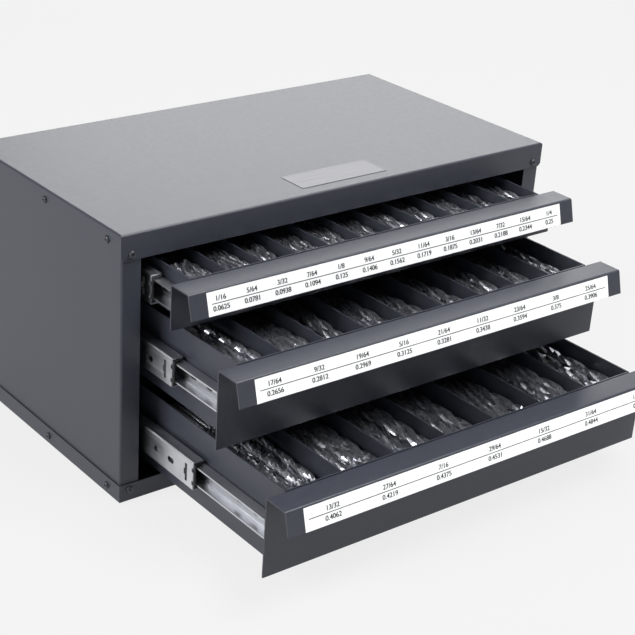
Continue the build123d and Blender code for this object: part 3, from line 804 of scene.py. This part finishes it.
# ---------------------------------------------------------------------- stage
def studio():
    world = bpy.data.worlds.new("studio")
    bpy.context.scene.world = world
    world.use_nodes = True
    tree = world.node_tree
    tree.nodes.clear()
    place = node(tree, "ShaderNodeTexCoord")
    split = node(tree, "ShaderNodeSeparateXYZ")
    tree.links.new(place.outputs["Generated"], split.inputs["Vector"])
    rise = node(tree, "ShaderNodeMapRange")
    rise.inputs["From Min"].default_value = 0.0
    rise.inputs["From Max"].default_value = ZENITH_FROM
    rise.inputs["To Min"].default_value = HORIZON_LIGHT
    rise.inputs["To Max"].default_value = ZENITH_LIGHT
    tree.links.new(split.outputs["Z"], rise.inputs["Value"])
    light = node(tree, "ShaderNodeBackground")
    tree.links.new(rise.outputs["Result"], light.inputs["Color"])
    shown = node(tree, "ShaderNodeBackground", Color=(BACKDROP, BACKDROP, BACKDROP, 1))
    path = node(tree, "ShaderNodeLightPath")
    mix = node(tree, "ShaderNodeMixShader")
    output = node(tree, "ShaderNodeOutputWorld")
    tree.links.new(path.outputs["Is Camera Ray"], mix.inputs[0])
    tree.links.new(light.outputs[0], mix.inputs[1])
    tree.links.new(shown.outputs[0], mix.inputs[2])
    tree.links.new(mix.outputs[0], output.inputs["Surface"])


def floor_material():
    """Pale floor: mostly its own colour to the camera and in reflections, with a faint shadow."""
    material = bpy.data.materials.new("studio_floor")
    material.use_nodes = True
    tree = material.node_tree
    tree.nodes.clear()
    lit = node(tree, "ShaderNodeBsdfDiffuse", Color=(BACKDROP, BACKDROP, BACKDROP, 1))
    own = node(tree, "ShaderNodeEmission", Color=(BACKDROP, BACKDROP, BACKDROP, 1))
    path = node(tree, "ShaderNodeLightPath")
    share = node(tree, "ShaderNodeMath", operation="MULTIPLY")
    share.inputs[1].default_value = FLOOR_OWN_SHARE
    seen = node(tree, "ShaderNodeMath", operation="MAXIMUM")
    tree.links.new(path.outputs["Is Camera Ray"], seen.inputs[0])
    tree.links.new(path.outputs["Is Glossy Ray"], seen.inputs[1])
    tree.links.new(seen.outputs[0], share.inputs[0])
    mix = node(tree, "ShaderNodeMixShader")
    output = node(tree, "ShaderNodeOutputMaterial")
    tree.links.new(share.outputs[0], mix.inputs[0])
    tree.links.new(lit.outputs[0], mix.inputs[1])
    tree.links.new(own.outputs[0], mix.inputs[2])
    tree.links.new(mix.outputs[0], output.inputs["Surface"])
    return material


def lay_floor():
    half = FLOOR_HALF
    data = bpy.data.meshes.new("studio_floor")
    corners = [(-half, -half, 0), (half, -half, 0), (half, half, 0), (-half, half, 0)]
    data.from_pydata(corners, [], [(0, 1, 2, 3)])
    made = bpy.data.objects.new("studio_floor", data)
    bpy.context.scene.collection.objects.link(made)
    data.materials.append(floor_material())


def softbox(name, place, target, size, power):
    lamp = bpy.data.lights.new(name, "AREA")
    lamp.shape = "RECTANGLE"
    lamp.size, lamp.size_y = size
    lamp.energy = power
    made = bpy.data.objects.new(name, lamp)
    made.location = place
    made.rotation_euler = (Vector(target) - Vector(place)).to_track_quat("-Z", "Y").to_euler()
    bpy.context.scene.collection.objects.link(made)


def camera():
    data = bpy.data.cameras.new("camera")
    data.lens = CAMERA_LENS
    data.sensor_width = SENSOR_WIDTH
    data.shift_x, data.shift_y = CAMERA_SHIFT
    made = bpy.data.objects.new("camera", data)
    made.location = CAMERA_PLACE
    made.rotation_euler = [math.radians(a) for a in CAMERA_TURN]
    bpy.context.scene.collection.objects.link(made)
    bpy.context.scene.camera = made


dress_drill_bits()
for level in DRAWERS:
    print_strip(level)
fastener_heads(
    "case_screws", "case_screw_heads", "case", BLACK_STEEL, CASE_SCREW_SPAN, True
)
for level in DRAWERS:
    fastener_heads(
        f"{level}_inner_rail_rivets",
        f"{level}_rivet_heads",
        f"{level}_drawer",
        ZINC,
        RIVET_SPAN,
        False,
    )
    for race in ("outer", "inner"):
        round_balls(f"{level}_{race}_balls", f"{level}_{race}_race_balls", f"{level}_{race}_cages")
    # black plugs as painted shade in the inner rails' slots
    slot_painted_shade(level)
cover_plate()

studio()
lay_floor()
for lamp_row in LAMPS:
    softbox(*lamp_row)
camera()
bpy.context.scene.view_settings.view_transform = "Standard"
